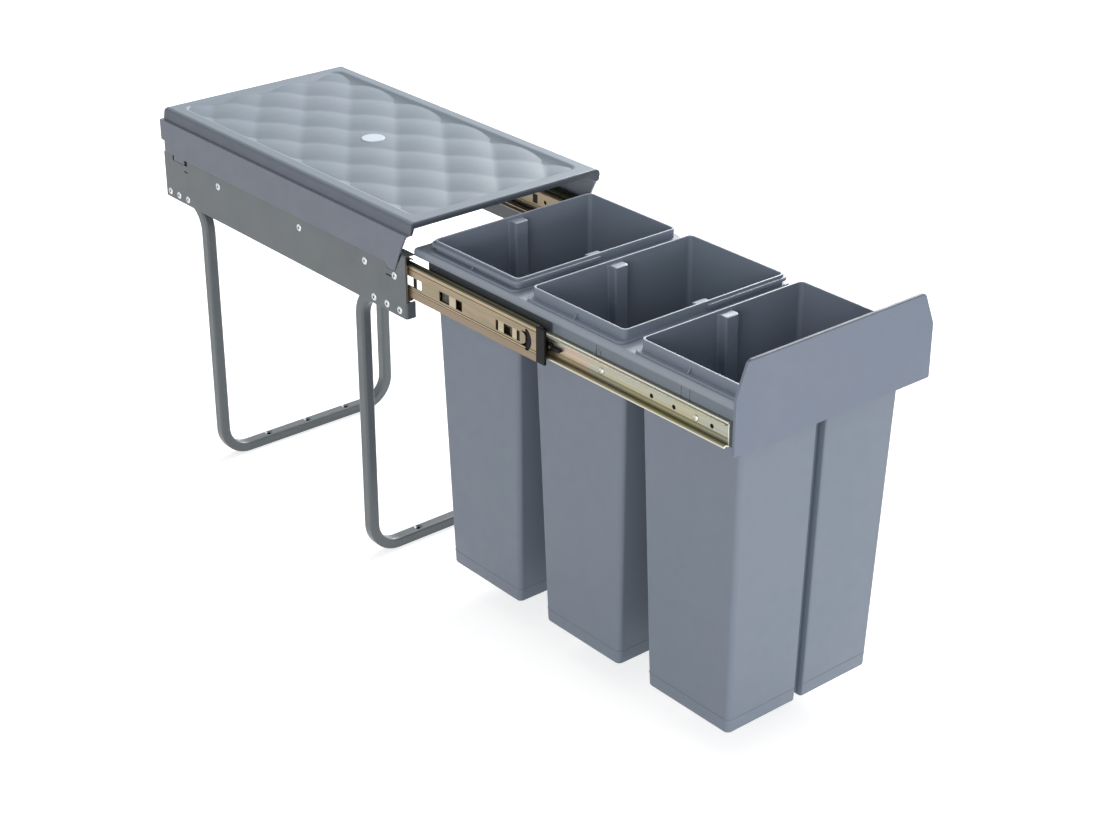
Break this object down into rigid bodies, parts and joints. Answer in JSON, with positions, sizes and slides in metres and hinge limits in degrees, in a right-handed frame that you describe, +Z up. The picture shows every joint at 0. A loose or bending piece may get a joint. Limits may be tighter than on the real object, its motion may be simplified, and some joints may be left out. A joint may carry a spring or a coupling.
{
  "type": "built-in pull-out waste bin",
  "caption": "Pull-out waste bin for a base cabinet: lift-out bins in a carrier frame on full-extension ball slides, between two side plates with a clipped quilted lid.",
  "frame": {"origin": "floor level, at the centre of the rectangle of the four outer floor screw holes in the legs", "axes": "+Z up, -Y the pull-out direction with the front panel at the far end, +X to the right seen from the front panel towards the lid"},
  "size_m": [0.2522, 0.9277, 0.43],
  "materials": {
    "painted_sheet": "satin dark grey paint",
    "painted_tube": "satin dark grey paint",
    "rivet": "bare",
    "lid_plastic": "fine grain",
    "plated_steel": "yellow passivated zinc",
    "black_plastic": "moulded",
    "cage_steel": "zinc plated",
    "ball_steel": "polished, greased",
    "screw_steel": "zinc plated",
    "carrier_plastic": "fine grain",
    "panel_plastic": "fine grain",
    "bin_plastic": "fine grain"
  },
  "bodies": {
    "housing": {"side_plate_left": "painted_sheet", "side_plate_right": "painted_sheet", "front_leg": "painted_tube", "rear_leg": "painted_tube", "plate_rivets_left": "rivet", "plate_rivets_right": "rivet", "lid": "lid_plastic", "slide_outer_left": "plated_steel", "slide_outer_right": "plated_steel", "rear_buffer_left": "black_plastic", "rear_buffer_right": "black_plastic"},
    "carrier": {"carrier_frame": "carrier_plastic", "front_panel": "panel_plastic", "panel_screws": "screw_steel", "slide_inner_left": "plated_steel", "slide_inner_right": "plated_steel", "carrier_screws_left": "screw_steel", "carrier_screws_right": "screw_steel"},
    "middle_left": {"slide_mid_left": "plated_steel", "mid_bumper_left": "black_plastic"},
    "middle_right": {"slide_mid_right": "plated_steel", "mid_bumper_right": "black_plastic"},
    "outer_cage_left": {"outer_cage_left": "cage_steel", "outer_balls_left": "ball_steel"},
    "outer_cage_right": {"outer_cage_right": "cage_steel", "outer_balls_right": "ball_steel"},
    "inner_cage_left": {"inner_cage_left": "cage_steel", "inner_balls_left": "ball_steel"},
    "inner_cage_right": {"inner_cage_right": "cage_steel", "inner_balls_right": "ball_steel"},
    "lever_left": {"disconnect_lever_left": "black_plastic"},
    "lever_right": {"disconnect_lever_right": "black_plastic"},
    "rear_bin": {"bin_rear": "bin_plastic"},
    "middle_bin": {"bin_middle": "bin_plastic"},
    "front_bin": {"bin_front": "bin_plastic"}
  },
  "joints": [
    {"name": "carrier_slide", "type": "slide", "parent": "housing", "child": "carrier", "axis": [0, -1, 0], "range_m": [-0.45, 0]},
    {"name": "middle_left_slide", "type": "slide", "parent": "housing", "child": "middle_left", "axis": [0, -1, 0], "range_m": [-0.225, 0]},
    {"name": "middle_right_slide", "type": "slide", "parent": "housing", "child": "middle_right", "axis": [0, -1, 0], "range_m": [-0.225, 0]},
    {"name": "outer_cage_left_roll", "type": "slide", "parent": "housing", "child": "outer_cage_left", "axis": [0, -1, 0], "range_m": [-0.1125, 0]},
    {"name": "outer_cage_right_roll", "type": "slide", "parent": "housing", "child": "outer_cage_right", "axis": [0, -1, 0], "range_m": [-0.1125, 0]},
    {"name": "inner_cage_left_roll", "type": "slide", "parent": "housing", "child": "inner_cage_left", "axis": [0, -1, 0], "range_m": [-0.3375, 0]},
    {"name": "inner_cage_right_roll", "type": "slide", "parent": "housing", "child": "inner_cage_right", "axis": [0, -1, 0], "range_m": [-0.3375, 0]},
    {"name": "lever_left_hinge", "type": "hinge", "parent": "carrier", "child": "lever_left", "pos_m": [-0.1138, -0.447, 0.354], "axis": [1, 0, 0], "range_deg": [-8, 8], "stiffness_Nm_per_rad": 0.02},
    {"name": "lever_right_hinge", "type": "hinge", "parent": "carrier", "child": "lever_right", "pos_m": [0.1138, -0.447, 0.354], "axis": [1, 0, 0], "range_deg": [-8, 8], "stiffness_Nm_per_rad": 0.02},
    {"name": "rear_bin_lift", "type": "slide", "parent": "carrier", "child": "rear_bin", "axis": [0, 0, 1], "range_m": [0, 0.4]},
    {"name": "middle_bin_lift", "type": "slide", "parent": "carrier", "child": "middle_bin", "axis": [0, 0, 1], "range_m": [0, 0.4]},
    {"name": "front_bin_lift", "type": "slide", "parent": "carrier", "child": "front_bin", "axis": [0, 0, 1], "range_m": [0, 0.4]}
  ],
  "couplings": [
    {"joint": "middle_left_slide", "follows": "carrier_slide", "ratio": 0.5},
    {"joint": "middle_right_slide", "follows": "carrier_slide", "ratio": 0.5},
    {"joint": "outer_cage_left_roll", "follows": "carrier_slide", "ratio": 0.25},
    {"joint": "outer_cage_right_roll", "follows": "carrier_slide", "ratio": 0.25},
    {"joint": "inner_cage_left_roll", "follows": "carrier_slide", "ratio": 0.75},
    {"joint": "inner_cage_right_roll", "follows": "carrier_slide", "ratio": 0.75}
  ]
}
